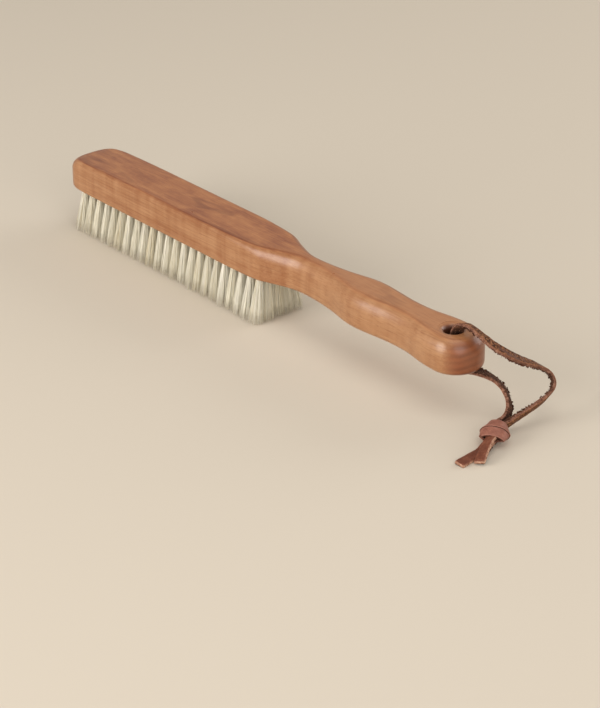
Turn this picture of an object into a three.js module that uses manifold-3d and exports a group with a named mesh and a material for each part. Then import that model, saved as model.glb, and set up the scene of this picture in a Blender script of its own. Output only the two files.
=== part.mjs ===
// Clothes brush: a one-piece wooden back and handle, rows of bristle tufts set in blind
// holes under the head, and a knotted leather thong through the end of the handle.
// Millimetres. +X runs along the brush to the handle end, +Y across it, +Z up.
// The origin is on the table under the middle of the brush, level with the bristle tips.
import * as THREE from 'three';
import { mergeVertices } from 'three/addons/utils/BufferGeometryUtils.js';
import Module from 'manifold-3d';

const wasm = await Module();
wasm.setup();

// ---- driving dimensions -------------------------------------------------------------
const LENGTH = 300;
const HEAD_HALF_WIDTH = 14.5;
const HANDLE_END_HALF_WIDTH = 13.7;
const THICKNESS = 17.5;
const FREE_BRISTLE = 24.2; // bristle showing under the head, so the height of its underside
const TOUCH_GAP = 0.3; // air left between neighbouring solids

// the wood's edges: nearly crisp on the head, well rounded on the handle
const HEAD_TOP_RADIUS = 2.4;
const FAR_END_TOP_RADIUS = 6;
const HANDLE_TOP_RADIUS = 5.9;
const HEAD_BOTTOM_RADIUS = 0.8;
const FAR_END_BOTTOM_RADIUS = 2.4;
const FAR_ROUNDING_STARTS_X = -132; // the far end is more rounded than the head's sides
const HANDLE_BOTTOM_RADIUS = 2.5;
const ROUNDING_STARTS_X = -12;
const ROUNDING_ENDS_X = 68;
const HANDLE_ROUNDING_STRETCH = 0.5; // how much taller than wide the rounding is on the handle
const STRETCH_STARTS_X = -20;
const STRETCH_ENDS_X = 12;
const HANDLE_DROP = 0.7; // the handle's underside lies this much under the head's

// the top falls away a little towards both ends
const HEAD_FALL_X = -95;
const HEAD_FALL = 1.1;
const HANDLE_FALL_X = 60;
const HANDLE_FALL = 0.9;

// plan outline, from the far end of the head to the end of the handle
const FAR_CAP_LENGTH = 10.8;
const FAR_CAP_POWER = 0.74; // under one, so that the far end is fuller than an ellipse
const FAR_CAP_STEPS = 9;
const SHOULDER_X = -10;
const HANDLE_SIDE = [
  [SHOULDER_X, HEAD_HALF_WIDTH],
  [3, 14.1],
  [10, 13.2],
  [18, 10.3],
  [31, 6.6],
  [45, 6.8],
  [59, 8.7],
  [71, 11.4],
  [80, 12.1],
  [90, 11.3],
  [101, 10.3],
  [113, 10.6],
  [124, 12.6],
  [130, 13.4],
  [LENGTH / 2 - HANDLE_END_HALF_WIDTH, HANDLE_END_HALF_WIDTH],
];

// hole for the thong
const HOLE_X = 134.6;
const HOLE_RADIUS = 4.2;
const HOLE_TOP_ROUND = 3;
const HOLE_BOTTOM_ROUND = 2;

// bristle field: rows across the head, five tufts to a row and three in the rounded end
const FIRST_ROW_X = -137.4;
const ROW_PITCH = 6.6;
const FULL_ROWS = 23;
const TUFT_PITCH = 5.25;
const TUFTS_PER_ROW = 5;
const TUFTS_IN_END_ROW = 3;
const TUFT_HOLE_RADIUS = 2;
const TUFT_HOLE_DEPTH = 9;
const TUFT_SIDES = 6;
const TIP_FAN_X = 1.018; // the tips stand this much further out than the roots
const TIP_FAN_Y = 1.12;
const TIP_OVERLAP = 0.06; // each side, so that the tips of a row run together
const TIP_HALF_X = (ROW_PITCH * TIP_FAN_X - TOUCH_GAP) / 2;
const TIP_HALF_Y = (TUFT_PITCH * TIP_FAN_Y) / 2 + TIP_OVERLAP;

// leather thong
const THONG_RADIUS = 1.7; // round section with the area of a strip 5 wide and 1.8 thick
const STRIP_WIDTH = 5;
const STRIP_THICKNESS = 1.8;
const KNOT_CENTRE = new THREE.Vector3(172, -8, 5);
const KNOT_HALF_LENGTH = 6.5;
const KNOT_HALF_WIDTH = 7;
const KNOT_HALF_HEIGHT = 4.95;
const KNOT_HEADING = -1.07; // radians from +X, from the loop's side to the tails

// from the knot up the lower leg, through the hole, over the end and round to the knot
const THONG_ROUTE = [
  [166.9, -1.7, 5.2],
  [167.1, 1.2, 6.0],
  [166.3, 4.8, 7.2],
  [164.1, 8.4, 9.0],
  [161.1, 10.4, 11.8],
  [157.4, 10.9, 15.2],
  [153.8, 9.7, 18.2],
  [150.0, 7.4, 20.3],
  [145.6, 4.9, 21.2],
  [140.4, 2.5, 21.2],
  [136.6, 0.9, 23.6],
  [135.5, 0.4, 28.5],
  [135.5, 0.2, 34.5],
  [136.0, 0.0, 38.6],
  [137.4, -0.2, 41.8],
  [139.5, -0.4, 44.4],
  [142.4, -0.4, 46.0],
  [146.2, 0.0, 46.0],
  [151.4, 1.0, 43.8],
  [157.6, 3.0, 40.3],
  [162.5, 7.2, 36.6],
  [165.0, 13.9, 32.0],
  [166.3, 21.8, 27.5],
  [167.3, 27.0, 24.0],
  [168.9, 29.8, 21.0],
  [171.1, 30.0, 18.3],
  [172.8, 27.9, 15.8],
  [173.3, 24.4, 13.6],
  [172.9, 18.8, 11.0],
  [171.9, 12.7, 8.8],
  [171.1, 7.6, 7.2],
  [170.9, 3.2, 6.0],
  [170.5, -0.2, 5.2],
];
const UPPER_TAIL_ROUTE = [
  [175.2, -14.5, 5.8],
  [176.3, -17.2, 5.2],
  [178.0, -20.4, 4.2],
  [180.2, -24.4, 3.1],
  [182.9, -28.9, 1.3],
];
const LOWER_TAIL_ROUTE = [
  [174.0, -14.8, 2.2],
  [174.8, -17.8, 1.6],
  [175.6, -21.0, 1.0],
  [176.0, -25.0, 1.0],
  [176.6, -30.0, 1.0],
  [177.4, -36.0, 1.0],
];

// ---- materials ----------------------------------------------------------------------
const wood = () =>
  new THREE.MeshStandardMaterial({ color: 0xb57b57, roughness: 0.45, metalness: 0 });
const bristle = () =>
  new THREE.MeshStandardMaterial({ color: 0xcfc4a6, roughness: 0.7, metalness: 0 });
const leather = () =>
  new THREE.MeshStandardMaterial({ color: 0x7d5241, roughness: 0.75, metalness: 0 });

const brush = new THREE.Group();

function addMesh(name, geometry, material) {
  const mesh = new THREE.Mesh(geometry, material);
  mesh.name = name;
  brush.add(mesh);
}

// ---- solids and booleans ------------------------------------------------------------
function solidOf(geometry) {
  const bare = geometry.clone();
  bare.deleteAttribute('normal');
  bare.deleteAttribute('uv');
  const merged = mergeVertices(bare, 1e-4);
  return new wasm.Manifold(
    new wasm.Mesh({
      numProp: 3,
      vertProperties: new Float32Array(merged.attributes.position.array),
      triVerts: new Uint32Array(merged.index.array),
    }),
  );
}

function geometryOf(solid) {
  const mesh = solid.getMesh();
  const geometry = new THREE.BufferGeometry();
  geometry.setAttribute('position', new THREE.BufferAttribute(mesh.vertProperties, 3));
  geometry.setIndex(new THREE.BufferAttribute(mesh.triVerts, 1));
  geometry.computeVertexNormals();
  return geometry;
}

// A closed skin over rings of equal count, listed from the bottom up. Each ring runs
// counter-clockwise seen from above, and its point i mirrors point count - i across the
// X axis, so strips across that axis close the first and last rings.
function loft(rings) {
  const count = rings[0].length;
  const positions = rings.flat().flatMap((p) => [p.x, p.y, p.z]);
  const faces = [];
  for (let r = 0; r + 1 < rings.length; r += 1) {
    for (let i = 0; i < count; i += 1) {
      const a = r * count + i;
      const b = r * count + ((i + 1) % count);
      faces.push(a, b, b + count, a, b + count, a + count);
    }
  }
  const last = (rings.length - 1) * count;
  for (let i = 0; i < count / 2; i += 1) {
    const [a, b, c, d] = [i, i + 1, count - i - 1, (count - i) % count];
    if (b !== c) faces.push(a, c, b, last + a, last + b, last + c);
    if (a !== d) faces.push(a, d, c, last + a, last + c, last + d);
  }
  const geometry = new THREE.BufferGeometry();
  geometry.setAttribute('position', new THREE.Float32BufferAttribute(positions, 3));
  geometry.setIndex(faces);
  return geometry;
}

// ---- wooden back and handle ---------------------------------------------------------
const roundingShare = (x) =>
  THREE.MathUtils.smoothstep(x, ROUNDING_STARTS_X, ROUNDING_ENDS_X);
const farRoundingShare = (x) =>
  THREE.MathUtils.smoothstep(-x, -FAR_ROUNDING_STARTS_X, LENGTH / 2);
const topRadius = (x) =>
  HEAD_TOP_RADIUS +
  (HANDLE_TOP_RADIUS - HEAD_TOP_RADIUS) * roundingShare(x) +
  (FAR_END_TOP_RADIUS - HEAD_TOP_RADIUS) * farRoundingShare(x);
const bottomRadius = (x) =>
  HEAD_BOTTOM_RADIUS +
  (HANDLE_BOTTOM_RADIUS - HEAD_BOTTOM_RADIUS) * roundingShare(x) +
  (FAR_END_BOTTOM_RADIUS - HEAD_BOTTOM_RADIUS) * farRoundingShare(x);
const topRounding = (x) =>
  topRadius(x) *
  (1 +
    HANDLE_ROUNDING_STRETCH *
      THREE.MathUtils.smoothstep(x, STRETCH_STARTS_X, STRETCH_ENDS_X));
const undersideZ = (x) => FREE_BRISTLE - HANDLE_DROP * roundingShare(x);

function topZ(x) {
  const headShare = Math.max(0, (HEAD_FALL_X - x) / (LENGTH / 2 + HEAD_FALL_X));
  const handleShare = Math.max(0, (x - HANDLE_FALL_X) / (LENGTH / 2 - HANDLE_FALL_X));
  return (
    FREE_BRISTLE + THICKNESS - HEAD_FALL * headShare ** 2 - HANDLE_FALL * handleShare ** 2
  );
}

// Plan outline, counter-clockwise from the far end: the far side is the mirrored +Y side.
function planOutline() {
  const farCapX = FAR_CAP_LENGTH - LENGTH / 2;
  const endCapX = LENGTH / 2 - HANDLE_END_HALF_WIDTH;
  const farCap = Array.from({ length: FAR_CAP_STEPS }, (_, i) => {
    const angle = (Math.PI / 2) * (i / FAR_CAP_STEPS);
    return new THREE.Vector2(
      farCapX - FAR_CAP_LENGTH * Math.cos(angle) ** FAR_CAP_POWER,
      HEAD_HALF_WIDTH * Math.sin(angle) ** FAR_CAP_POWER,
    );
  });
  const headSide = new THREE.LineCurve(
    new THREE.Vector2(farCapX, HEAD_HALF_WIDTH),
    new THREE.Vector2(SHOULDER_X, HEAD_HALF_WIDTH),
  );
  const handleSide = new THREE.SplineCurve(
    HANDLE_SIDE.map(([x, y]) => new THREE.Vector2(x, y)),
  );
  const endCap = new THREE.EllipseCurve(
    endCapX, 0, HANDLE_END_HALF_WIDTH, HANDLE_END_HALF_WIDTH, Math.PI / 2, 0, true,
  );
  const side = [
    ...farCap,
    ...headSide.getPoints(6).slice(0, -1),
    ...handleSide.getPoints(28).slice(0, -1),
    ...endCap.getPoints(9),
  ];
  const mirrored = side.slice(1, -1).map((p) => new THREE.Vector2(p.x, -p.y));
  return [side[0], ...mirrored, side.at(-1), ...side.slice(1, -1).reverse()];
}

// Unit vectors pointing into the outline, one for each of its points.
function inwardNormals(outline) {
  return outline.map((_, i) => {
    const before = outline.at(i - 1);
    const after = outline[(i + 1) % outline.length];
    return new THREE.Vector2(before.y - after.y, after.x - before.x).normalize();
  });
}

function brushBody() {
  const outline = planOutline();
  const inward = inwardNormals(outline);
  const ring = (inset, height) =>
    outline.map((p, i) => {
      const q = p.clone().addScaledVector(inward[i], inset(p.x));
      return new THREE.Vector3(q.x, q.y, height(p.x));
    });
  const rings = [];
  for (const angle of [0, 0.25, 0.5].map((share) => share * Math.PI)) {
    rings.push(
      ring(
        (x) => bottomRadius(x) * (1 - Math.sin(angle)),
        (x) => undersideZ(x) + bottomRadius(x) * (1 - Math.cos(angle)),
      ),
    );
  }
  for (const angle of [0, 1 / 6, 1 / 3, 0.5].map((share) => share * Math.PI)) {
    rings.push(
      ring(
        (x) => topRadius(x) * (1 - Math.cos(angle)),
        (x) => topZ(x) - topRounding(x) * (1 - Math.sin(angle)),
      ),
    );
  }
  return solidOf(loft(rings));
}

// The waste of the thong hole: a post that flares round its two mouths.
function thongHole() {
  const flare = (radius, z, direction) =>
    [0, 0.25, 0.5, 0.75, 1].map((share) => {
      const angle = (share * Math.PI) / 2;
      return new THREE.Vector2(
        HOLE_RADIUS + radius * (1 - Math.cos(angle)),
        z - direction * radius * (1 - Math.sin(angle)),
      );
    });
  const low = undersideZ(HOLE_X);
  const high = topZ(HOLE_X);
  const bottom = flare(HOLE_BOTTOM_ROUND, low, -1).reverse();
  const top = flare(HOLE_TOP_ROUND, high, 1);
  const beyond = 2;
  const profile = [
    new THREE.Vector2(0, low - beyond),
    new THREE.Vector2(bottom[0].x, low - beyond),
    ...bottom,
    ...top,
    new THREE.Vector2(top.at(-1).x, high + beyond),
    new THREE.Vector2(0, high + beyond),
  ];
  const waste = new THREE.LatheGeometry(profile, 20);
  waste.rotateX(Math.PI / 2);
  waste.translate(HOLE_X, 0, 0);
  return solidOf(waste);
}

// ---- bristles -----------------------------------------------------------------------
const rows = [{ x: FIRST_ROW_X - ROW_PITCH, tufts: TUFTS_IN_END_ROW }];
for (let i = 0; i < FULL_ROWS; i += 1) {
  rows.push({ x: FIRST_ROW_X + i * ROW_PITCH, tufts: TUFTS_PER_ROW });
}

const tuftPlaces = (tufts) =>
  Array.from({ length: tufts }, (_, i) => (i - (tufts - 1) / 2) * TUFT_PITCH);

function tuftHole(x, y) {
  const below = 1;
  const hole = new THREE.CylinderGeometry(
    TUFT_HOLE_RADIUS, TUFT_HOLE_RADIUS, TUFT_HOLE_DEPTH + below, TUFT_SIDES,
  );
  hole.rotateY(Math.PI / 2);
  hole.rotateX(Math.PI / 2);
  hole.translate(x, y, FREE_BRISTLE + (TUFT_HOLE_DEPTH - below) / 2);
  return solidOf(hole);
}

// A six-sided ring: halfX reaches to its corners and halfY to the middle of its flat sides.
function tuftRing(x, y, halfX, halfY, z) {
  const corner = 1 / Math.cos(Math.PI / TUFT_SIDES);
  return Array.from({ length: TUFT_SIDES }, (_, i) => {
    const angle = (i * 2 * Math.PI) / TUFT_SIDES;
    return new THREE.Vector3(
      x + halfX * Math.cos(angle),
      y + halfY * corner * Math.sin(angle),
      z,
    );
  });
}

// A tuft stands in its hole, straight, and spreads from the wood down to its cut tips.
function tuft(x, y) {
  const rootHalfX = TUFT_HOLE_RADIUS - TOUCH_GAP;
  const rootHalfY = rootHalfX * Math.cos(Math.PI / TUFT_SIDES);
  const rootZ = FREE_BRISTLE + TUFT_HOLE_DEPTH - TOUCH_GAP;
  return solidOf(
    loft([
      tuftRing(x * TIP_FAN_X, y * TIP_FAN_Y, TIP_HALF_X, TIP_HALF_Y, 0),
      tuftRing(x, y, rootHalfX, rootHalfY, FREE_BRISTLE - TOUCH_GAP),
      tuftRing(x, y, rootHalfX, rootHalfY, rootZ),
    ]),
  );
}

function bristleRow(row) {
  return tuftPlaces(row.tufts)
    .map((y) => tuft(row.x, y))
    .reduce((joined, next) => joined.add(next));
}

// ---- leather thong ------------------------------------------------------------------
const curveThrough = (points) =>
  new THREE.CatmullRomCurve3(points.map((p) => new THREE.Vector3(...p)));

function thongLoop() {
  const section = new THREE.Shape();
  const sides = 8;
  for (let i = 0; i < sides; i += 1) {
    const angle = (i * 2 * Math.PI) / sides;
    const corner = [THONG_RADIUS * Math.cos(angle), THONG_RADIUS * Math.sin(angle)];
    if (i === 0) section.moveTo(...corner);
    else section.lineTo(...corner);
  }
  return new THREE.ExtrudeGeometry(section, {
    steps: 60,
    extrudePath: curveThrough(THONG_ROUTE),
  });
}

// A loose end of the strip, lying with its broad face up.
function thongTail(route) {
  const section = new THREE.Shape();
  section.moveTo(-STRIP_THICKNESS / 2, -STRIP_WIDTH / 2);
  section.lineTo(STRIP_THICKNESS / 2, -STRIP_WIDTH / 2);
  section.lineTo(STRIP_THICKNESS / 2, STRIP_WIDTH / 2);
  section.lineTo(-STRIP_THICKNESS / 2, STRIP_WIDTH / 2);
  section.closePath();
  return new THREE.ExtrudeGeometry(section, { steps: 8, extrudePath: curveThrough(route) });
}

// The overhand knot as a barrel: its outer shape, without the turns.
function thongKnot() {
  const faceRadius = 0.68;
  const shoulder = 0.55;
  const profile = [
    [0, -1],
    [faceRadius, -1],
    [0.95, -shoulder],
    [1, 0],
    [0.95, shoulder],
    [faceRadius, 1],
    [0, 1],
  ].map(([radius, along]) => new THREE.Vector2(radius, along));
  const barrel = new THREE.LatheGeometry(profile, 14);
  barrel.scale(KNOT_HALF_WIDTH, KNOT_HALF_LENGTH, KNOT_HALF_HEIGHT);
  barrel.rotateZ(KNOT_HEADING - Math.PI / 2);
  barrel.translate(...KNOT_CENTRE);
  return barrel;
}

// ---- assembly -----------------------------------------------------------------------
const holes = rows.flatMap((row) => tuftPlaces(row.tufts).map((y) => tuftHole(row.x, y)));
const bored = holes.reduce((body, hole) => body.subtract(hole), brushBody());
addMesh('brush_body', geometryOf(bored.subtract(thongHole())), wood());
rows.forEach((row, i) => {
  const name = `bristle_row_${String(i + 1).padStart(2, '0')}`;
  addMesh(name, geometryOf(bristleRow(row)), bristle());
});
addMesh('thong_loop', thongLoop(), leather());
addMesh('thong_knot', thongKnot(), leather());
addMesh('thong_upper_tail', thongTail(UPPER_TAIL_ROUTE), leather());
addMesh('thong_lower_tail', thongTail(LOWER_TAIL_ROUTE), leather());

export default brush;
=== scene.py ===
"""Clothes brush: an oiled pearwood back and handle with rows of stapled bristle tufts and a
knotted leather thong. Metres; +X to the handle end, +Y across, +Z up from the bristle tips."""
import math

import bpy
import numpy as np
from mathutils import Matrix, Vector, noise


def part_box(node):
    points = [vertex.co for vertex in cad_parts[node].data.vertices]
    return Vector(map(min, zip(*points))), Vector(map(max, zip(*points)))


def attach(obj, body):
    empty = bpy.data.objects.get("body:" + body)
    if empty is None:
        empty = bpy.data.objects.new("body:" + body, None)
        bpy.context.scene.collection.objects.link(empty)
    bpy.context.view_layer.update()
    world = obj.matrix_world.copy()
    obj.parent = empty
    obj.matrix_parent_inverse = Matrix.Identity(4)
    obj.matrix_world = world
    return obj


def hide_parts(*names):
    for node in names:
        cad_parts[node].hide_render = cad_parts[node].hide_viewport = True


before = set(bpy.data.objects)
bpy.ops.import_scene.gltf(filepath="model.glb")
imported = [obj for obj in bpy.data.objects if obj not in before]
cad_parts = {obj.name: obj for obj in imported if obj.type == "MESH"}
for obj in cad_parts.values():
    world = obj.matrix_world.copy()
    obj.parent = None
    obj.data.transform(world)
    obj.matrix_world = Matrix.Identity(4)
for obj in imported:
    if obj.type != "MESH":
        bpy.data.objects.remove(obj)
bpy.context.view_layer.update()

MM = 0.001
THREE_SIDES = np.radians([90, 210, 330])  # corners of the thinnest tubes
SQUARE = [(-1, -1), (1, -1), (1, 1), (-1, 1)]
rng = np.random.default_rng(7)

# ---- sizes read from the frame --------------------------------------------------------
wood_low, wood_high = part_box("brush_body")
HALF_LENGTH = wood_high.x
HALF_WIDTH = wood_high.y
TOP = wood_high.z
HANDLE_UNDERSIDE = wood_low.z
HANDLE_DROP = 0.7 * MM  # the handle's underside lies this much under the head's
HEAD_UNDERSIDE = HANDLE_UNDERSIDE + HANDLE_DROP

knot_low, knot_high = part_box("thong_knot")
KNOT_CENTRE = np.array((knot_low + knot_high) / 2)


# ---- small helpers --------------------------------------------------------------------
def smoothstep(value, low, high):
    """Nothing below low, one above high, and an even rise between them."""
    share = np.clip((value - low) / (high - low), 0, 1)
    return share * share * (3 - 2 * share)


def curve_through(points, steps):
    """A smooth line through the points (uniform Catmull-Rom), with that many steps per span."""
    p = np.array(points, float)
    p = np.vstack([2 * p[0] - p[1], p, 2 * p[-1] - p[-2]])
    out = []
    for i in range(1, len(p) - 2):
        first = p[i + 1] - p[i - 1]
        second = 2 * p[i - 1] - 5 * p[i] + 4 * p[i + 1] - p[i + 2]
        third = 3 * p[i] - p[i - 1] - 3 * p[i + 1] + p[i + 2]
        for t in np.arange(steps) / steps:
            out.append(0.5 * (2 * p[i] + first * t + second * t**2 + third * t**3))
    out.append(p[-2])
    return np.array(out)


def unit(v):
    """The vector, or each of the vectors, made one long."""
    return v / np.maximum(np.linalg.norm(v, axis=-1, keepdims=True), 1e-12)


def tube_faces(rings, sides):
    """Faces of a closed tube over rings of as many points each, and of its two caps."""
    faces = []
    for r in range(rings - 1):
        for k in range(sides):
            a, b = r * sides + k, r * sides + (k + 1) % sides
            faces.append((a, b, b + sides, a + sides))
    faces.append(tuple(range(sides))[::-1])
    faces.append(tuple((rings - 1) * sides + k for k in range(sides)))
    return faces


def join(parts):
    """One list of points and one of faces from several (points, faces) pairs."""
    points, faces = [], []
    for part_points, part_faces in parts:
        start = len(points)
        points += [tuple(p) for p in part_points]
        faces += [tuple(v + start for v in f) for f in part_faces]
    return points, faces


def add_object(name, points, faces, material, body="brush", slot=None, smooth=True):
    """A mesh object of one material, riding on its body if it has one. The slot is not used."""
    mesh = bpy.data.meshes.new(name)
    mesh.from_pydata([tuple(p) for p in points], [], [tuple(f) for f in faces])
    mesh.validate()
    if smooth:
        mesh.polygons.foreach_set("use_smooth", [True] * len(mesh.polygons))
    mesh.materials.append(material)
    obj = bpy.data.objects.new(name, mesh)
    bpy.context.scene.collection.objects.link(obj)
    if body:
        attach(obj, body)
    return obj


def add_values(obj, name, values):
    """A number for each point, for the material to read."""
    attribute = obj.data.attributes.new(name, "FLOAT", "POINT")
    attribute.data.foreach_set("value", np.asarray(values, np.float32))


def add_vectors(obj, name, values):
    """A vector for each point, for the material to read."""
    attribute = obj.data.attributes.new(name, "FLOAT_VECTOR", "POINT")
    attribute.data.foreach_set("vector", np.asarray(values, np.float32).ravel())


# ---- material helpers -----------------------------------------------------------------
class Nodes:
    """Builds one material's node tree."""

    def __init__(self, name, **sockets):
        self.material = bpy.data.materials.new(name)
        self.material.use_nodes = True
        self.tree = self.material.node_tree
        self.shader = self.tree.nodes["Principled BSDF"]
        for socket, value in sockets.items():
            self.shader.inputs[socket.replace("_", " ")].default_value = value

    def add(self, kind, inputs=None, **settings):
        node = self.tree.nodes.new("ShaderNode" + kind)
        for key, value in settings.items():
            setattr(node, key, value)
        for key, value in (inputs or {}).items():
            if isinstance(value, bpy.types.NodeSocket):
                self.tree.links.new(value, node.inputs[key])
            else:
                node.inputs[key].default_value = value
        return node

    def math(self, operation, a, b=0.0):
        return self.add("Math", {0: a, 1: b}, operation=operation).outputs[0]

    def plus(self, a, b):
        return self.math("ADD", a, b)

    def minus(self, a, b):
        return self.math("SUBTRACT", a, b)

    def times(self, a, b):
        return self.math("MULTIPLY", a, b)

    def weighted(self, *parts):
        """The sum of some (value, weight) pairs."""
        total = self.times(*parts[0])
        for value, weight in parts[1:]:
            total = self.plus(total, self.times(value, weight))
        return total

    def axis(self, vector, name):
        return self.add("SeparateXYZ", {0: vector}).outputs[name]

    def remap(self, value, low, high, to_low=0.0, to_high=1.0):
        node = self.add(
            "MapRange",
            {"Value": value, 1: low, 2: high, 3: to_low, 4: to_high},
            interpolation_type="SMOOTHSTEP",
        )
        return node.outputs[0]

    def mix(self, share, below, above):
        return self.add("MixRGB", {0: share, 1: below, 2: above}).outputs[0]

    def over(self, share, strength, below, above):
        """One colour laid over another, by a share that is at most the strength."""
        return self.mix(self.times(share, strength), below, above)

    def noise(self, vector, scale, detail=3.0, rough=0.5, distortion=0.0):
        node = self.add(
            "TexNoise",
            {
                "Vector": vector,
                "Scale": scale,
                "Detail": detail,
                "Roughness": rough,
                "Distortion": distortion,
            },
        )
        return node.outputs["Fac"]

    def stretched_noise(self, vector, scales, *settings):
        """Noise with its own scale along each axis."""
        stretched = self.add("Mapping", {"Vector": vector, "Scale": scales}).outputs[0]
        return self.noise(stretched, 1.0, *settings)

    def ramp(self, value, *stops):
        """A colour that goes through the (position, colour) stops."""
        node = self.add("ValToRGB", {"Fac": value})
        elements = node.color_ramp.elements
        while len(elements) < len(stops):
            elements.new(0.5)
        for element, (position, shade) in zip(elements, stops):
            element.position = position
            element.color = shade
        return node.outputs["Color"]

    def finish(self, shade, bump=None, bump_depth=0.0, roughness=None):
        """Links what the shader takes and gives back the material."""
        link = self.tree.links.new
        link(shade, self.shader.inputs["Base Color"])
        if roughness is not None:
            link(roughness, self.shader.inputs["Roughness"])
        if bump is not None:
            node = self.add("Bump", {"Height": bump, "Distance": bump_depth})
            link(node.outputs[0], self.shader.inputs["Normal"])
        return self.material


def colour(r, g, b):
    """A linear colour from one given the usual way, 0 to 255."""
    linear = [((c / 255 + 0.055) / 1.055) ** 2.4 for c in (r, g, b)]
    return (*linear, 1.0)


# ---- camera and lamps -----------------------------------------------------------------
def way_to(azimuth, elevation):
    """The way to a place so many degrees round from -Y toward +X, and so many up."""
    a, e = math.radians(azimuth), math.radians(elevation)
    return Vector((math.sin(a) * math.cos(e), -math.cos(a) * math.cos(e), math.sin(e)))


def stand(name, data, aim, way, distance):
    """Puts a camera or a lamp that far from the place it is aimed at."""
    obj = bpy.data.objects.new(name, data)
    obj.location = aim + way * distance
    obj.rotation_mode = "QUATERNION"
    obj.rotation_quaternion = (-way).to_track_quat("-Z", "Y")
    bpy.context.scene.collection.objects.link(obj)
    return obj


CAMERA_AIM = Vector((47.8, -18.4, 0)) * MM
CAMERA_AZIMUTH = 49.27
CAMERA_ELEVATION = 27.35
CAMERA_DISTANCE = 1.171


def make_camera():
    data = bpy.data.cameras.new("camera")
    data.sensor_width = 36
    data.lens = 122
    way = way_to(CAMERA_AZIMUTH, CAMERA_ELEVATION)
    bpy.context.scene.camera = stand("camera", data, CAMERA_AIM, way, CAMERA_DISTANCE)


make_camera()

# ---- leather thong --------------------------------------------------------------------
STRIP_WIDTH = 5 * MM
STRIP_THICKNESS = 1.8 * MM
STRIP_MESH = 0.4 * MM  # length of the mesh's edges across the strip
STRIP_STEPS = 12  # rings of the mesh from one point of a route to the next
GRAIN_CORNER = 0.28  # radii of the corners, as shares of the thickness
FLESH_CORNER = 0.12
ROUGH_CELL = 0.8 * MM
ROUGH_DEPTH = 0.13 * MM
GRAIN_ROUGHNESS = 0.15  # how rough the grain side is, for one on the flesh side
SLOW_PACE = 0.3  # how often the slow waves come, and how deep they are, for one of the fine
SLOW_DEPTH = 0.8
TABLE_GAP = 0.05 * MM  # nothing reaches down to the table itself

# loose flesh, in millimetres
CRUMBS_IN_CLUSTER = (4, 14)
CRUMB_RADII = (0.16, 0.48)
CRUMB_LUMPINESS = 0.45
FIBRE_LENGTHS = (0.35, 1.2)
FIBRE_RADII = (0.04, 0.08)

# From the knot up the lower leg, through the hole, over the end and round to the knot.
# Each point has the way that the strip's near edge faces there. The first and the last
# point lie inside the knot.
THONG_ROUTE = [
    ((170.0, -5.0, 5.0), (0.35, -0.35, 0.87)),
    ((166.9, -1.7, 5.2), (0.33, -0.35, 0.87)),
    ((167.1, 1.2, 6.0), (0.3, -0.4, 0.85)),
    ((166.3, 4.8, 7.2), (0.25, -0.5, 0.82)),
    ((164.1, 8.4, 9.0), (0.2, -0.62, 0.76)),
    ((161.1, 10.4, 11.8), (0.22, -0.7, 0.68)),
    ((157.4, 10.9, 15.2), (0.32, -0.78, 0.5)),
    ((153.8, 9.7, 18.2), (0.42, -0.84, 0.3)),
    ((150.0, 7.4, 20.3), (0.45, -0.87, 0.1)),
    ((145.6, 4.9, 21.2), (0.3, -0.95, 0.05)),
    ((140.4, 2.5, 21.2), (0.1, -1, 0)),
    ((136.6, 0.9, 23.6), (0, -1, 0)),
    ((135.5, 0.4, 28.5), (-0.2, -1, 0)),
    ((135.5, 0.2, 34.5), (-0.4, -0.9, 0)),
    ((136.0, 0.0, 38.6), (-0.5, -0.9, 0)),
    ((137.4, -0.2, 41.8), (-0.5, -0.9, 0.1)),
    ((139.5, -0.4, 44.4), (-0.5, -0.86, 0.1)),
    ((142.4, -0.4, 46.0), (-0.33, -0.9, 0.22)),
    ((146.2, 0.0, 46.0), (0.1, -0.9, 0.42)),
    ((151.4, 1.0, 43.8), (0.35, -0.9, 0.2)),
    ((157.6, 3.0, 40.3), (0.48, -0.82, -0.1)),
    ((162.5, 7.2, 36.6), (0.65, -0.65, -0.25)),
    ((165.0, 13.9, 32.0), (0.8, -0.5, -0.2)),
    ((166.3, 21.8, 27.5), (0.86, -0.45, 0.05)),
    ((167.3, 27.0, 24.0), (0.83, -0.45, 0.3)),
    ((168.9, 29.8, 21.0), (0.75, -0.5, 0.42)),
    ((171.1, 30.0, 18.3), (0.7, -0.54, 0.47)),
    ((172.8, 27.9, 15.8), (0.66, -0.5, 0.55)),
    ((173.3, 24.4, 13.6), (0.6, -0.4, 0.68)),
    ((172.9, 18.8, 11.0), (0.46, -0.47, 0.75)),
    ((171.9, 12.7, 8.8), (0.42, -0.5, 0.76)),
    ((171.1, 7.6, 7.2), (0.4, -0.48, 0.78)),
    ((170.9, 3.2, 6.0), (0.4, -0.42, 0.81)),
    ((170.5, -0.2, 5.2), (0.4, -0.35, 0.85)),
    ((171.6, -4.6, 5.2), (0.4, -0.3, 0.86)),
]
# The two ends, from the knot out.
UPPER_TAIL = [
    ((173.4, -11.2, 5.2), (-0.85, -0.46, -0.2)),
    ((175.2, -14.5, 5.4), (-0.82, -0.44, -0.35)),
    ((176.3, -17.2, 5.0), (-0.8, -0.44, -0.4)),
    ((178.0, -20.4, 4.2), (-0.8, -0.44, -0.4)),
    ((180.2, -24.4, 3.2), (-0.8, -0.44, -0.35)),
    ((182.9, -28.9, 1.9), (-0.85, -0.46, -0.2)),
]
LOWER_TAIL = [
    ((172.6, -11.0, 3.0), (-0.95, -0.3, 0)),
    ((174.0, -14.8, 2.4), (-0.98, -0.2, 0)),
    ((174.8, -17.8, 1.8), (-0.98, -0.2, 0)),
    ((175.6, -21.0, 1.2), (-0.98, -0.2, 0)),
    ((176.0, -25.0, 1.1), (-0.98, -0.2, 0)),
    ((176.6, -30.0, 1.1), (-0.98, -0.15, 0.1)),
    ((177.4, -36.0, 1.2), (-0.98, -0.12, 0.15)),
]


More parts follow.
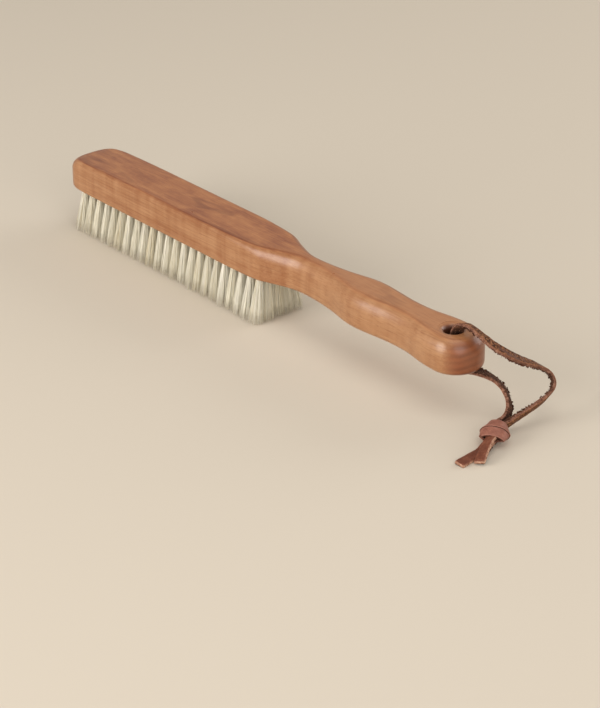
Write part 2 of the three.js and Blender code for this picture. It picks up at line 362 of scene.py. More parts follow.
def strip_section(thickness):
    """Points round the strip, across its width and through its thickness, with the grain side
    above."""
    half_w, half_t = STRIP_WIDTH / 2, thickness / 2
    corners = [
        (1, 1, GRAIN_CORNER),
        (-1, 1, GRAIN_CORNER),
        (-1, -1, FLESH_CORNER),
        (1, -1, FLESH_CORNER),
    ]
    points = []
    for i, (side, level, rounding) in enumerate(corners):
        radius = rounding * thickness
        for angle in np.radians(90 * i + np.array([0, 30, 60, 90])):
            x = side * (half_w - radius) + radius * math.cos(angle)
            y = level * (half_t - radius) + radius * math.sin(angle)
            points.append((x, y))
    section = []
    for i, a in enumerate(points):
        b = points[(i + 1) % len(points)]
        pieces = max(1, round(math.dist(a, b) / STRIP_MESH))
        for k in range(pieces):
            share = k / pieces
            section.append((a[0] + (b[0] - a[0]) * share, a[1] + (b[1] - a[1]) * share))
    return np.array(section)


def strip_frames(route, steps):
    """Centre line of a strip, with the ways that its near edge and its grain side face."""
    line = curve_through([np.array(p) * MM for p, _ in route], steps)
    edge = curve_through([e for _, e in route], steps)
    tangent = unit(np.gradient(line, axis=0))
    edge = unit(edge - (edge * tangent).sum(1, keepdims=True) * tangent)
    return line, edge, np.cross(edge, tangent)


def swelling(along, across, through, thickness):
    """How far the leather swells at a place: finely on the flesh side and the cut edges, and
    in slower waves all round."""
    flesh = 1 - smoothstep(through, -0.2 * thickness, thickness / 2)
    cell = Vector((along, across, through)) / ROUGH_CELL
    fine = noise.noise(cell) * ROUGH_DEPTH * (GRAIN_ROUGHNESS + flesh)
    slow = noise.noise(cell * SLOW_PACE) * ROUGH_DEPTH * SLOW_DEPTH
    return fine + slow


def strip(name, route, material, steps=STRIP_STEPS, thickness=STRIP_THICKNESS):
    """One length of the thong: a flat strip swept along its route. Returns the object and its
    frames."""
    line, edge, face = strip_frames(route, steps)
    section = strip_section(thickness)
    along = np.concatenate([[0], np.cumsum(np.linalg.norm(np.diff(line, axis=0), axis=1))])
    points, coords, sides = [], [], []
    for i in range(len(line)):
        for across, through in section:
            swell = swelling(along[i], across, through, thickness)
            thicken = 1 + swell / (STRIP_THICKNESS / 2)
            widen = 1 + swell / (STRIP_WIDTH / 2)
            place = line[i] + edge[i] * across * widen + face[i] * through * thicken
            place[2] = max(place[2], TABLE_GAP)
            points.append(place)
            coords.append((along[i], across, through))
            sides.append(through / thickness + 0.5)
    faces = tube_faces(len(line), len(section))
    obj = add_object(name, points, faces, material, "thong", "leather")
    add_vectors(obj, "strip", coords)
    add_values(obj, "through", sides)
    return obj, (line, edge, face)


def fibre(start, way, bend, length, radius):
    """One loose fibre: a thin tapering tube that curls away."""
    side = unit(np.cross(way, bend))
    points = []
    for share in (0, 0.3, 0.6, 0.85, 1):
        centre = start + way * length * share + bend * length * 0.5 * share**2
        for angle in THREE_SIDES:
            spoke = bend * math.cos(angle) + side * math.sin(angle)
            points.append(centre + spoke * radius * (1 - 0.8 * share))
    return points, tube_faces(5, 3)


def crumb(centre, size):
    """A crumb of loose flesh: a small lumpy ball."""
    rings, sides = 5, 7
    points = []
    for r in range(rings):
        latitude = math.pi * (r + 0.5) / rings
        for k in range(sides):
            turn = 2 * math.pi * k / sides
            out = math.sin(latitude)
            way = np.array([out * math.cos(turn), out * math.sin(turn), -math.cos(latitude)])
            lump = noise.noise(Vector(centre + way * size) / (0.5 * MM)) * CRUMB_LUMPINESS
            points.append(centre + way * size * (1 + lump))
    return points, tube_faces(rings, sides)


def crumb_cluster(line, edge, face):
    """Crumbs close together at one of the flesh side's corners."""
    middle = rng.integers(len(line))
    side = rng.choice([-1, 1])
    crumbs = []
    for _ in range(int(rng.integers(*CRUMBS_IN_CLUSTER))):
        i = int(np.clip(middle + rng.normal(0, 4), 0, len(line) - 1))
        across = side * (STRIP_WIDTH / 2 + rng.normal(-0.05, 0.15) * MM)
        level = -STRIP_THICKNESS / 2 + rng.normal(-0.05, 0.18) * MM
        size = rng.uniform(*CRUMB_RADII) * MM
        crumbs.append(crumb(line[i] + edge[i] * across + face[i] * level, size))
    return crumbs


def standing_fibre(line, edge, face):
    """A fibre that stands from the flesh side near one of its edges."""
    i = int(rng.integers(len(line)))
    side = rng.choice([-1, 1])
    across = side * (STRIP_WIDTH / 2 - abs(rng.normal(0, 0.8)) * MM)
    start = line[i] + edge[i] * across - face[i] * STRIP_THICKNESS * 0.45
    way = unit(-face[i] + edge[i] * side * rng.uniform(0, 1.4) + rng.normal(0, 0.3, 3))
    bend = unit(np.cross(way, rng.normal(0, 1, 3)))
    length = rng.uniform(*FIBRE_LENGTHS) * MM
    return fibre(start, way, bend, length, rng.uniform(*FIBRE_RADII) * MM)


def loose_flesh(name, frames, clusters, fibres):
    """The torn flesh along a strip. What would reach into the table is left off."""
    parts = []
    for _ in range(clusters):
        parts += crumb_cluster(*frames)
    for _ in range(fibres):
        parts.append(standing_fibre(*frames))
    parts = [part for part in parts if min(p[2] for p in part[0]) > TABLE_GAP]
    return add_object(name, *join(parts), flesh_material, "thong", "leather")


def leather_material(name, grain_colours, cut_colours, wear):
    """Smooth or worn grain outside, dark rough flesh inside, and cut edges between. wear is
    how much of the grain side has cracked down to fibre."""
    n = Nodes(name, Specular_IOR_Level=0.18)
    place = n.add("Attribute", attribute_name="strip").outputs["Vector"]
    through = n.add("Attribute", attribute_name="through").outputs["Fac"]
    mottle = n.noise(place, 420, 4)
    fine = n.noise(place, 1900, 3, 0.65)
    creases = n.add("TexVoronoi", {"Vector": place, "Scale": 1500}).outputs["Distance"]

    grain_tone = n.weighted((mottle, 0.65), (fine, 0.35))
    grain = n.ramp(grain_tone, *zip((0.34, 0.52, 0.7), grain_colours))
    cracks = n.ramp(n.noise(place, 950, 3, 0.7), *zip((0.42, 0.5, 0.6), CRACKED_GRAIN))
    worn = n.times(n.remap(mottle, 0.38, 0.5), wear)
    grain = n.mix(worn, grain, cracks)
    across = n.math("ABSOLUTE", n.axis(place, "Y"))
    rim = n.remap(across, 0.4 * STRIP_WIDTH, 0.47 * STRIP_WIDTH)
    grain = n.over(rim, 0.6, grain, grain_colours[2])

    flesh = n.ramp(fine, *zip((0.36, 0.54, 0.68), FLESH))
    cut_tone = n.weighted((mottle, 0.4), (fine, 0.6))
    cut = n.ramp(cut_tone, *zip((0.38, 0.5, 0.64), cut_colours))

    above_flesh = n.remap(through, 0.0, 0.15)
    at_grain = n.remap(through, 0.72, 0.92)
    shade = n.mix(at_grain, n.mix(above_flesh, flesh, cut), grain)
    smooth = n.times(at_grain, n.minus(1.0, n.times(worn, 0.8)))
    rough = n.minus(0.85, n.times(smooth, 0.42))
    height = n.times(fine, n.minus(1.0, n.times(smooth, 0.85)))
    height = n.plus(height, n.times(creases, 0.12))
    return n.finish(shade, bump=height, bump_depth=0.25 * MM, roughness=rough)


def loose_flesh_material():
    n = Nodes("leather_flesh", Roughness=0.9, Specular_IOR_Level=0.2)
    place = n.add("TexCoord").outputs["Object"]
    fine = n.noise(place, 1500, 3, 0.6)
    shade = n.ramp(fine, (0.35, colour(44, 26, 18)), (0.7, colour(112, 72, 52)))
    return n.finish(shade, bump=fine, bump_depth=0.15 * MM)


# dark, middle and light shade of each
CRACKED_GRAIN = [colour(50, 27, 15), colour(96, 57, 34), colour(160, 110, 74)]
FLESH = [colour(40, 24, 17), colour(84, 53, 39), colour(150, 112, 88)]
THONG_GRAIN = [colour(78, 43, 24), colour(110, 65, 40), colour(158, 107, 76)]
THONG_CUT = [colour(66, 39, 29), colour(122, 82, 65), colour(166, 124, 102)]
KNOT_GRAIN = [colour(122, 76, 62), colour(150, 98, 82), colour(168, 118, 102)]
# colours of the knot's cut edges, made dark as painted shade for the gaps between its turns; the
# core takes them too
KNOT_CUT_AND_SHADE = [colour(66, 38, 28), colour(98, 60, 46), colour(140, 98, 78)]
TAIL_GRAIN = [colour(98, 54, 39), colour(118, 69, 51), colour(136, 84, 64)]
TAIL_CUT = [colour(118, 76, 58), colour(178, 132, 108), colour(216, 178, 150)]
leather = leather_material("leather", THONG_GRAIN, THONG_CUT, wear=0.9)
knot_leather = leather_material("leather_knot", KNOT_GRAIN, KNOT_CUT_AND_SHADE, wear=0.1)
tail_leather = leather_material("leather_tails", TAIL_GRAIN, TAIL_CUT, wear=0.1)
flesh_material = loose_flesh_material()
loop, loop_frames = strip("leather_loop", THONG_ROUTE, leather)
upper_tail, _ = strip("leather_tail_upper", UPPER_TAIL, tail_leather)
lower_tail, lower_frames = strip("leather_tail_lower", LOWER_TAIL, tail_leather)
loop_fuzz = loose_flesh("leather_loop_fuzz", loop_frames, clusters=120, fibres=800)
tail_fuzz = loose_flesh("leather_tail_fuzz", lower_frames, clusters=5, fibres=60)

# The knot: the strip goes round its own two legs, over a packed core.
KNOT_HEADING = -1.07  # radians from +X, from the loop to the tails
KNOT_AXIS = np.array([math.cos(KNOT_HEADING), math.sin(KNOT_HEADING), 0])
KNOT_SIDE = np.array([-KNOT_AXIS[1], KNOT_AXIS[0], 0])
UP = np.array([0, 0, 1.0])
KNOT_STRIP_THICKNESS = 1.1 * MM  # pulled tight, the strip is thinner in the knot
KNOT_FLATNESS = 0.8  # under one: the turns lie flat above and below
KNOT_POINTEDNESS = 1.5  # over one: they come to a corner on each side
KNOT_LEAN = 0.9  # millimetres along the axis that a turn moves on in going round
TURN_END = 205  # degrees that a turn goes each way from its top, so that its ends overlap
TUCK_STARTS = 165
TUCK = 0.3  # how far in the ends are tucked, as a share of the turn's size
CORE_HALF_LENGTH = 5.2 * MM
CORE_HALF_WIDTH = 4.6 * MM
CORE_HALF_HEIGHT = 2.0 * MM
CORE_END = 0.38  # size of the core's ends, as a share of its middle
CORE_LUMP_CELL = 1.6 * MM
CORE_LUMP = 0.35 * MM


def round_knot(angle, half_width, half_height):
    """A place on a flattened ring round the knot's axis, from its middle."""
    c, s = math.cos(angle), math.sin(angle)
    x = math.copysign(abs(c) ** KNOT_FLATNESS, c) * half_width
    z = math.copysign(abs(s) ** KNOT_POINTEDNESS, s) * half_height
    return x, z


def knot_turn(name, at, half_width, half_height, widen, rise):
    """One turn of the strip round the knot's axis, its ends tucked in below. Towards the tails
    it widens and rises by those shares of the way along. Sizes in millimetres."""
    route = []
    for degrees in range(TURN_END, -TURN_END - 1, -15):
        angle = math.radians(degrees + 90)
        size = 1 - TUCK * smoothstep(abs(degrees), TUCK_STARTS, TURN_END)
        x, z = round_knot(angle, half_width * size, half_height * size)
        shift = at + KNOT_LEAN * degrees / 200
        place = KNOT_CENTRE / MM + KNOT_SIDE * x + UP * z + KNOT_AXIS * shift
        across, up = unit(np.array([x / half_width**2, z / half_height**2]))
        edge = KNOT_AXIS + KNOT_SIDE * across * widen + UP * up * rise
        route.append((tuple(place), tuple(edge)))
    turn, _ = strip(name, route, knot_leather, steps=5, thickness=KNOT_STRIP_THICKNESS)
    return turn


def knot_core():
    """The legs and tails packed inside the turns, as one lumpy body."""
    rings, sides = 18, 36
    points = []
    for r in range(rings):
        share = 2 * r / (rings - 1) - 1
        size = (1 - abs(share) ** 5) ** 0.5 * (1 - CORE_END) + CORE_END
        for k in range(sides):
            angle = 2 * math.pi * k / sides
            x, z = round_knot(angle, CORE_HALF_WIDTH * size, CORE_HALF_HEIGHT * size)
            place = KNOT_CENTRE + KNOT_SIDE * x + UP * z + KNOT_AXIS * CORE_HALF_LENGTH * share
            lump = noise.noise(Vector(place) / CORE_LUMP_CELL) * CORE_LUMP
            points.append(place + unit(KNOT_SIDE * x + UP * z) * lump)
    faces = tube_faces(rings, sides)
    obj = add_object("leather_knot_core", points, faces, knot_leather, "thong", "leather")
    add_vectors(obj, "strip", points)
    # halfway through the strip, the core takes the knot's dark cut colours, a painted shade for
    # its place inside the turns
    add_values(obj, "through", [0.5] * len(points))
    return obj


turn_upper = knot_turn(
    "leather_turn_upper", at=-1.1, half_width=5.7, half_height=4.1, widen=0.52, rise=-0.16
)
turn_lower = knot_turn(
    "leather_turn_lower", at=3.9, half_width=5.7, half_height=2.45, widen=-0.2, rise=-0.5
)
core = knot_core()
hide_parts("thong_loop")
for piece in (turn_upper, turn_lower, core):
    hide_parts("thong_knot")
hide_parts("thong_upper_tail")
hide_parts("thong_lower_tail")

# ---- wooden back and handle -----------------------------------------------------------
HEAD_TOP_RADIUS = 2.4 * MM
HANDLE_TOP_RADIUS = 5.9 * MM
FAR_END_TOP_RADIUS = 6 * MM
HEAD_BOTTOM_RADIUS = 0.8 * MM
HANDLE_BOTTOM_RADIUS = 2.5 * MM
FAR_END_BOTTOM_RADIUS = 2.4 * MM
HANDLE_ROUNDING_STRETCH = 0.5  # how much taller than wide the rounding is on the handle
FAR_ROUNDING_STARTS_X = -132 * MM
# where along X each of these starts to grow toward the handle, and where it is full
TOP_RADIUS_GROWS = (-24 * MM, 44 * MM)
STRETCH_GROWS = (-20 * MM, 12 * MM)
BOTTOM_RADIUS_GROWS = (-12 * MM, 68 * MM)

# the top falls away a little towards both ends
HEAD_FALL_X = -95 * MM
HEAD_FALL = 1.1 * MM
HANDLE_FALL_X = 60 * MM
HANDLE_FALL = 0.9 * MM

FAR_CAP = 10.8 * MM
FAR_CAP_POWER = 0.74  # under one, so that the far end is fuller than an ellipse
# distance along the handle and half width there, in millimetres
HANDLE_SIDE = [
    (-10, 14.5),
    (3, 14.1),
    (10, 13.2),
    (18, 10.3),
    (31, 6.6),
    (45, 6.8),
    (59, 8.7),
    (71, 11.4),
    (80, 12.1),
    (90, 11.3),
    (101, 10.3),
    (113, 10.6),
    (124, 12.6),
    (130, 13.4),
    (136.3, 13.7),
]
HOLE_X = 134.6 * MM
HOLE_RADIUS = 4.2 * MM
HOLE_TOP_ROUND = 3 * MM
HOLE_BOTTOM_ROUND = 2 * MM
HOLE_SHADE_WIDTH = 1.6 * MM  # of the painted shade on the wall of the thong hole and a little way round its mouth


def plan_side():
    """One side of the plan, from the far end of the head to the end of the handle."""
    points = []
    for angle in np.radians(np.arange(0, 90, 4)):
        x = -HALF_LENGTH + FAR_CAP * (1 - math.cos(angle) ** FAR_CAP_POWER)
        points.append((x, HALF_WIDTH * math.sin(angle) ** FAR_CAP_POWER))
    for x in np.linspace(-HALF_LENGTH + FAR_CAP, HANDLE_SIDE[0][0] * MM, 40)[:-1]:
        points.append((x, HALF_WIDTH))
    handle = curve_through(np.array(HANDLE_SIDE) * MM, 6)
    points += [tuple(p) for p in handle[:-1]]
    end_x, end_r = handle[-1]
    for angle in np.radians(np.arange(90, -1, -5)):
        points.append((end_x + end_r * math.cos(angle), end_r * math.sin(angle)))
    return np.array(points)


def far_rounding(x):
    """One at the far end, falling to nothing along the head."""
    return smoothstep(-x, -FAR_ROUNDING_STARTS_X, HALF_LENGTH)


def top_radius(x):
    """How far in from the side the upper rounding reaches."""
    on_handle = (HANDLE_TOP_RADIUS - HEAD_TOP_RADIUS) * smoothstep(x, *TOP_RADIUS_GROWS)
    at_far_end = (FAR_END_TOP_RADIUS - HEAD_TOP_RADIUS) * far_rounding(x)
    return HEAD_TOP_RADIUS + on_handle + at_far_end


def top_rounding(x):
    """How far down the rounding goes: on the handle it is taller than it is wide."""
    return top_radius(x) * (1 + HANDLE_ROUNDING_STRETCH * smoothstep(x, *STRETCH_GROWS))


def bottom_radius(x):
    """Radius of the lower rounding."""
    growth = smoothstep(x, *BOTTOM_RADIUS_GROWS)
    on_handle = (HANDLE_BOTTOM_RADIUS - HEAD_BOTTOM_RADIUS) * growth
    at_far_end = (FAR_END_BOTTOM_RADIUS - HEAD_BOTTOM_RADIUS) * far_rounding(x)
    return HEAD_BOTTOM_RADIUS + on_handle + at_far_end


def underside(x):
    """Height of the wood's underside."""
    return HEAD_UNDERSIDE - HANDLE_DROP * smoothstep(x, *BOTTOM_RADIUS_GROWS)


def top(x):
    """Height of the wood's flat top."""
    head = np.clip((HEAD_FALL_X - x) / (HALF_LENGTH + HEAD_FALL_X), 0, 1)
    handle = np.clip((x - HANDLE_FALL_X) / (HALF_LENGTH - HANDLE_FALL_X), 0, 1)
    return TOP - HEAD_FALL * head**2 - HANDLE_FALL * handle**2


def wood_rings(outline):
    """The outline's rings going up: the lower rounding, the side and the upper rounding."""
    x = outline[:, 0]
    along = unit(np.roll(outline, -1, axis=0) - np.roll(outline, 1, axis=0))
    inward = np.stack([along[:, 1], -along[:, 0]], axis=1)
    margin = 0.4 * MM  # a ring just inside each rounding keeps the flats flat
    low_side, high_side = underside(x) + bottom_radius(x), top(x) - top_rounding(x)

    insets_and_heights = [(bottom_radius(x) + margin, underside(x))]
    for angle in np.radians(np.linspace(0, 90, 6)):
        inset = bottom_radius(x) * (1 - math.sin(angle))
        insets_and_heights.append((inset, low_side - bottom_radius(x) * math.cos(angle)))
    for share in (0.25, 0.5, 0.75):
        insets_and_heights.append((np.zeros_like(x), low_side + (high_side - low_side) * share))
    for angle in np.radians(np.linspace(0, 90, 13)):
        inset = top_radius(x) * (1 - math.cos(angle))
        insets_and_heights.append((inset, high_side + top_rounding(x) * math.sin(angle)))
    insets_and_heights.append((top_radius(x) + margin, top(x)))
    return [
        np.column_stack([outline + inward * inset[:, None], height])
        for inset, height in insets_and_heights
    ]


def wood_mesh():
    """The whole back before its holes: rounded edges between a flat underside and top."""
    side = plan_side()
    outline = np.vstack([side, side[-2:0:-1] * [1, -1]])
    rings = wood_rings(outline)
    count = len(outline)
    faces = []
    for r in range(len(rings) - 1):
        for i in range(count):
            a, b = r * count + i, r * count + (i + 1) % count
            faces.append((a, a + count, b + count, b))
    last = (len(rings) - 1) * count
    for i in range(len(side) - 1):
        strip_across = [i, i + 1, (count - i - 1) % count, (count - i) % count]
        corners = list(dict.fromkeys(strip_across))
        faces.append(corners)
        faces.append([last + v for v in reversed(corners)])
    return np.vstack(rings), faces


def post(place, profile, sides):
    """A closed turned shape about an upright line, from (radius, height) pairs going up."""
    points = []
    for radius, z in profile:
        for k in range(sides):
            angle = 2 * math.pi * k / sides
            points.append(
                (place[0] + radius * math.cos(angle), place[1] + radius * math.sin(angle), z)
            )
    return points, tube_faces(len(profile), sides)


def thong_hole():
    """The waste of the thong hole, flared round both mouths."""
    low, high = underside(HOLE_X), float(top(HOLE_X))
    beyond = 2 * MM  # how far it stands out of the wood at each end
    profile = []
    for angle in np.radians(np.linspace(90, 0, 9)):
        radius = HOLE_RADIUS + HOLE_BOTTOM_ROUND * (1 - math.cos(angle))
        profile.append((radius, low + HOLE_BOTTOM_ROUND * (1 - math.sin(angle))))
    for angle in np.radians(np.linspace(0, 90, 13)):
        radius = HOLE_RADIUS + HOLE_TOP_ROUND * (1 - math.cos(angle))
        profile.append((radius, high - HOLE_TOP_ROUND * (1 - math.sin(angle))))
    profile = [(profile[0][0], low - beyond)] + profile + [(profile[-1][0], high + beyond)]
    return post((HOLE_X, 0), profile, 48)


def cut_away(obj, parts):
    """Takes the parts out of the object."""
    cutter = add_object("cutter", *join(parts), wood, body=None)
    modifier = obj.modifiers.new("cut", "BOOLEAN")
    modifier.operation = "DIFFERENCE"
    modifier.solver = "EXACT"
    modifier.object = cutter
    graph = bpy.context.evaluated_depsgraph_get()
    mesh = bpy.data.meshes.new_from_object(obj.evaluated_get(graph))
    obj.modifiers.clear()
    obj.data = mesh
    bpy.data.objects.remove(cutter)


WANDER = 13 * MM  # how far the growth layers go up and down
LAYER = 2.1 * MM  # from one growth line to the next
END_BAND = 3.7 * MM
SIDE_DARK, SIDE_LIGHT = colour(146, 94, 57), colour(174, 127, 88)
# the top's colours are darker than the sides' as painted shade
TOP_DARK, TOP_MIDDLE, TOP_LIGHT = colour(138, 80, 50), colour(166, 106, 66), colour(186, 126, 80)
HANDLE_TINT, HANDLE_TOP_TINT = colour(184, 144, 104), colour(206, 138, 90)
END_LIGHT, END_DARK = colour(138, 78, 48), colour(90, 43, 24)
GROWTH_LINE = colour(96, 46, 28)
EDGE_LINE = colour(92, 44, 28)
PORE = colour(110, 58, 34)
HOLE_SHADE = colour(66, 36, 26)


def near_hole(n, place):
    """One at the rim of the thong's hole, falling to nothing a little way out."""
    along = n.minus(n.axis(place, "X"), HOLE_X)
    across = n.axis(place, "Y")
    reach = n.math("SQRT", n.plus(n.times(along, along), n.times(across, across)))
    return n.remap(reach, HOLE_RADIUS + HOLE_SHADE_WIDTH, HOLE_RADIUS)


def wave(n, depth, length):
    """A sine wave of that length through the depth."""
    return n.math("SINE", n.times(depth, 2 * math.pi / length))


def wood_material():
    """Plain grain on the sides, darker and more red on top, where the darkness is painted shade,
    cut across at the ends, with thin dark growth lines, pores and a dark line along the upper
    edges."""
    n = Nodes("pearwood", Specular_IOR_Level=0.5)
    place = n.add("TexCoord").outputs["Object"]
    normal = n.add("NewGeometry").outputs["Normal"]
    upright = n.math("ABSOLUTE", n.axis(normal, "Z"))
    level = n.remap(upright, 0.72, 0.97)
    at_end = n.remap(n.math("ABSOLUTE", n.axis(normal, "X")), 0.2, 0.8)
    on_handle = n.remap(n.axis(place, "X"), 10 * MM, 80 * MM)

    # growth layers are nearly level and wander up and down along the wood
    wander = n.stretched_noise(place, (7, 26, 26), 3)
    depth = n.plus(n.axis(place, "Z"), n.times(wander, WANDER))
    fading = n.remap(n.stretched_noise(place, (14, 40, 110), 2), 0.38, 0.62)
    line = n.times(n.remap(wave(n, depth, LAYER), 0.6, 1.0), fading)
    band = n.times(n.remap(wave(n, depth, END_BAND), -0.8, 1.0), n.plus(0.4, fading))

    fibres = n.stretched_noise(place, (70, 1300, 1300), 5, 0.65)
    streak = n.stretched_noise(place, (12, 260, 260), 3)
    curl = n.stretched_noise(place, (230, 30, 30), 2)
    cloud = n.stretched_noise(place, (55, 110, 110), 5, 0.65, 0.6)
    pores = n.stretched_noise(place, (110, 2300, 2300), 3, 0.6)

    side_tone = n.weighted((fibres, 0.3), (streak, 0.25), (curl, 0.25), (cloud, 0.2))
    side = n.ramp(side_tone, (0.4, SIDE_DARK), (0.6, SIDE_LIGHT))
    top_tone = n.weighted((fibres, 0.3), (cloud, 0.45), (streak, 0.25))
    flat = n.ramp(top_tone, (0.38, TOP_DARK), (0.5, TOP_MIDDLE), (0.62, TOP_LIGHT))

    # painted shade: the level top takes darker, more red colours than the sides, less so along
    # the handle; the darkness stands for the top's lighting
    top_colour_and_shade = n.times(level, n.minus(1.0, n.times(on_handle, 0.7)))
    shade = n.mix(top_colour_and_shade, side, flat)
    shade = n.over(on_handle, 0.2, shade, HANDLE_TINT)
    shade = n.over(n.times(on_handle, level), 0.3, shade, HANDLE_TOP_TINT)
    line_strength = n.plus(0.2, n.times(level, 0.16))
    shade = n.over(line, line_strength, shade, GROWTH_LINE)
    shade = n.over(at_end, 0.9, shade, n.over(band, 0.4, END_LIGHT, END_DARK))
    edge = n.times(n.remap(upright, 0.86, 0.94), n.remap(upright, 0.995, 0.97))
    edge_strength = n.plus(0.15, n.times(fading, 0.3))
    shade = n.over(edge, edge_strength, shade, EDGE_LINE)
    shade = n.mix(n.remap(pores, 0.52, 0.7, 0, 0.32), shade, PORE)
    # painted shade: the wall of the thong hole and its mouth are darkened, where little light
    # gets in
    shade = n.over(near_hole(n, place), 0.85, shade, HOLE_SHADE)
    rough = n.plus(0.22, n.times(cloud, 0.18))
    return n.finish(shade, bump=fibres, bump_depth=0.03 * MM, roughness=rough)


wood = wood_material()
body = add_object("wood_back", *wood_mesh(), wood, "brush", "wood")
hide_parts("brush_body")

# ---- bristles -------------------------------------------------------------------------
FIRST_ROW_X = -137.4 * MM  # the first of the full rows
ROW_PITCH = 6.6 * MM
ROWS = 24
TUFTS_PER_ROW = 5
TUFTS_IN_END_ROW = 3  # the row in the rounded far end
TUFT_PITCH = 5.25 * MM
TUFT_HOLE_RADIUS = 2 * MM
TUFT_HOLE_DEPTH = 9 * MM
ROOT_DEPTH = 0.9 * TUFT_HOLE_DEPTH
ROOT_RADIUS = 1.6 * MM
TIP_FAN = np.array([1.018, 1.12])  # the tips stand this much further out than the roots
TIP_SPREAD = np.array([4.1, 3.9]) * MM
LAST_ROWS_SPLAY = 0.11  # share by which the rows by the handle spread wider
SPLAY_GROWS = (-50 * MM, 8 * MM)
BRISTLES = 200  # in a tuft
BRISTLE_RADIUS = 0.105 * MM
BRISTLE_LEVELS = np.array([0.0, 0.35, 0.7, 1.0])  # rings of a bristle, from the wood down
BRISTLE_TAPER = np.array([1, 1, 0.95, 0.85, 0.4])  # at its root and at each of those levels
CLUMPS = 7  # points that the tips of a tuft are drawn to
CLUMP_PULLS = (0.1, 0.5)
CLUMP_LIFT = 1.1  # millimetres, the most that a clump is shorter
TIP_JITTER = 0.09
TIP_LIFT = 0.6  # millimetres, the usual difference in length within a clump
STRAYS = 0.03  # share of the bristles that stand out from the tuft
STRAY_REACH = 1.2
YELLOWED_TUFTS = 0.12  # share of the tufts
YELLOWED = 0.17  # how much darker their tone is
ANCHOR_HALF_LENGTH = 1.9 * MM
ANCHOR_HALF_THICKNESS = 0.2 * MM
ANCHOR_DEPTHS = (0.84 * TUFT_HOLE_DEPTH, 0.98 * TUFT_HOLE_DEPTH)  # of its two edges


def tuft_places(row):
    """Where the tufts of one row stand, counting the end row as nought."""
    count = TUFTS_IN_END_ROW if row == 0 else TUFTS_PER_ROW
    x = FIRST_ROW_X + (row - 1) * ROW_PITCH
    return [np.array([x, (k - (count - 1) / 2) * TUFT_PITCH]) for k in range(count)]


def tuft_hole(place):
    """The waste of one blind hole, standing a little out of the wood."""
    low, high = HEAD_UNDERSIDE - 1 * MM, HEAD_UNDERSIDE + TUFT_HOLE_DEPTH
    return post(place, [(TUFT_HOLE_RADIUS, low), (TUFT_HOLE_RADIUS, high)], 20)


def bristle_material():
    # a trace of glow stands for the light that pale bristles pass on from one to the next
    n = Nodes(
        "bristle",
        Roughness=0.45,
        Specular_IOR_Level=0.4,
        Emission_Color=colour(238, 226, 196),
        Emission_Strength=0.03,
    )
    tone = n.add("Attribute", attribute_name="tone").outputs["Fac"]
    shade = n.ramp(
        tone,
        (0.0, colour(212, 194, 152)),
        (0.45, colour(237, 231, 210)),
        (1.0, colour(246, 243, 232)),
    )
    return n.finish(shade)


def tuft_tips(root, reach):
    """Where the tips lie about the tuft's middle, as shares of its spread, and how high they
    end above the table. They are drawn together into a few points."""
    ring = np.arange(CLUMPS) * 2 * np.pi / CLUMPS + rng.random() * 6
    centres = np.stack([np.cos(ring), np.sin(ring)], 1) * rng.uniform(0.5, 0.95, (CLUMPS, 1))
    clump = np.linalg.norm(root[:, None] - centres[None], axis=2).argmin(1)
    pull = rng.uniform(*CLUMP_PULLS, CLUMPS)[clump][:, None]
    tip = root * reach[:, None] ** -0.3 * (1 - pull) + centres[clump] * pull
    tip += rng.normal(0, TIP_JITTER, tip.shape)
    tip[rng.random(len(tip)) < STRAYS] *= STRAY_REACH
    lift = np.abs(rng.normal(0, TIP_LIFT, len(tip)))
    lift = lift + rng.uniform(0, CLUMP_LIFT, CLUMPS)[clump]
    return tip, lift * MM


def bristle_tubes(centre, radius, turn):
    """Thin three-sided tubes about the bristles' centre lines."""
    sides = turn[:, None] + THREE_SIDES[None]
    spokes = np.stack([np.cos(sides), np.sin(sides), np.zeros_like(sides)], axis=2)
    points = centre[:, :, None] + spokes[:, None] * radius[..., None, None]
    count, rings = radius.shape
    one = tube_faces(rings, 3)
    faces = [tuple(v + b * rings * 3 for v in face[::-1]) for b in range(count) for face in one]
    return points.reshape(-1, 3), faces


def tuft(place):
    """Points, faces and tones of the bristles of one tuft: they stand straight in the hole and
    fan out below."""
    turn = rng.random(BRISTLES) * 2 * np.pi
    reach = np.sqrt(rng.random(BRISTLES))
    root = np.stack([np.cos(turn), np.sin(turn)], 1) * reach[:, None]
    tip, tip_z = tuft_tips(root, reach)
    splay = 1 + LAST_ROWS_SPLAY * smoothstep(place[0], *SPLAY_GROWS)
    tip_xy = place * TIP_FAN * [1, splay] + tip * TIP_SPREAD
    root_xy = place + root * ROOT_RADIUS

    down = BRISTLE_LEVELS[None, :, None]
    flare = root_xy[:, None] * (1 - down) + tip_xy[:, None] * down
    drop = HEAD_UNDERSIDE + (tip_z[:, None] - HEAD_UNDERSIDE) * BRISTLE_LEVELS[None]
    below = np.concatenate([flare, drop[..., None]], axis=2)
    root_z = np.full(BRISTLES, HEAD_UNDERSIDE + ROOT_DEPTH)
    inside = np.column_stack([root_xy, root_z])
    centre = np.concatenate([inside[:, None], below], axis=1)
    radius = BRISTLE_RADIUS * rng.uniform(0.8, 1.15, (BRISTLES, 1)) * BRISTLE_TAPER[None]
    points, faces = bristle_tubes(centre, radius, turn)

    darker = YELLOWED if rng.random() < YELLOWED_TUFTS else 0
    tone = np.clip(rng.normal(0.6, 0.07) - darker + rng.normal(0, 0.16, BRISTLES), 0, 1)
    return points, faces, np.repeat(tone, len(points) // BRISTLES)


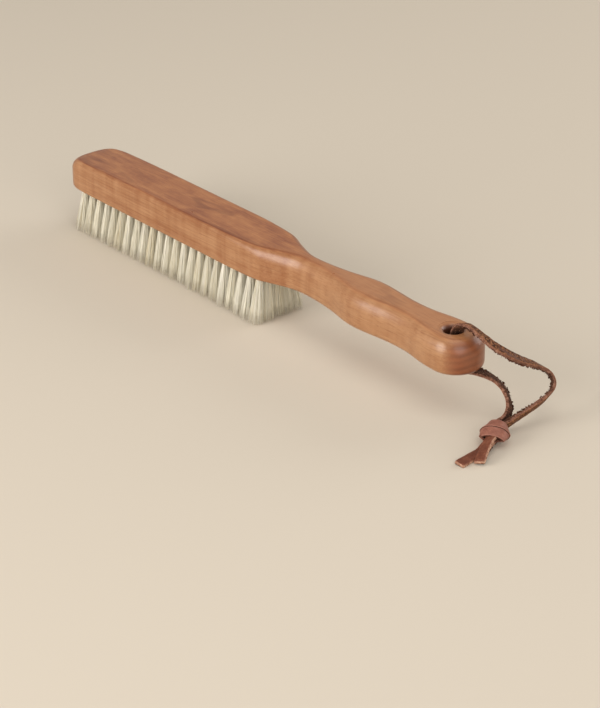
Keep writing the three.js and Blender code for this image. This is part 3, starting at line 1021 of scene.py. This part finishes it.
def anchors(places):
    """The flat wires that pin the tufts, each driven across the bottom of its hole."""
    parts = []
    for x, y in places:
        points = [
            (
                x + i * ANCHOR_HALF_THICKNESS,
                y + k * ANCHOR_HALF_LENGTH,
                HEAD_UNDERSIDE + depth,
            )
            for depth in ANCHOR_DEPTHS
            for i, k in SQUARE
        ]
        parts.append((points, tube_faces(2, 4)))
    wire = Nodes("anchor_wire", Roughness=0.35, Metallic=1.0, Base_Color=colour(170, 168, 162))
    return add_object("tuft_anchors", *join(parts), wire.material, "brush", smooth=False)


bristle = bristle_material()
all_places = []
for row in range(ROWS):
    places = tuft_places(row)
    all_places += places
    tufts = [tuft(place) for place in places]
    mesh = join([(points, faces) for points, faces, _ in tufts])
    row_of_tufts = add_object(f"bristles_{row + 1:02d}", *mesh, bristle, "brush", "bristle")
    add_values(row_of_tufts, "tone", np.concatenate([tones for _, _, tones in tufts]))
    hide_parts(f"bristle_row_{row + 1:02d}")
anchors(all_places)
cut_away(body, [thong_hole()] + [tuft_hole(place) for place in all_places])
body.data.set_sharp_from_angle(angle=math.radians(40))

# ---- floor and light ------------------------------------------------------------------
FLOOR_HALF_SIZE = 3.0
WARM = (1.0, 0.97, 0.95)
# name, degrees round and up, metres away, metres across, watts, colour
LAMPS = [
    ("window", -12, 19, 1.5, 1.1, 17.5, WARM),
    ("ceiling", 70, 72, 1.9, 1.6, 8, (1.0, 0.98, 0.95)),
    ("fill", 66, 22, 1.7, 1.2, 9, WARM),
    ("wall", 165, 20, 1.6, 1.2, 9, WARM),
]


def make_floor():
    floor_paint = Nodes(
        "floor", Roughness=0.9, Specular_IOR_Level=0.1, Base_Color=colour(214, 203, 186)
    )
    points = [(x * FLOOR_HALF_SIZE, y * FLOOR_HALF_SIZE, 0) for x, y in SQUARE]
    add_object("floor", points, [(0, 1, 2, 3)], floor_paint.material, body=None)


def make_lamp(name, azimuth, elevation, distance, size, power, tint):
    data = bpy.data.lights.new(name, "AREA")
    data.shape = "DISK"
    data.size = size
    data.energy = power
    data.color = tint
    stand(name, data, Vector((0, 0, 0)), way_to(azimuth, elevation), distance)


def make_world():
    world = bpy.data.worlds.new("world")
    world.use_nodes = True
    background = world.node_tree.nodes["Background"]
    background.inputs["Color"].default_value = (1.0, 0.97, 0.93, 1)
    background.inputs["Strength"].default_value = 0.42
    bpy.context.scene.world = world
    bpy.context.scene.view_settings.view_transform = "Standard"


make_floor()
for lamp in LAMPS:
    make_lamp(*lamp)
make_world()
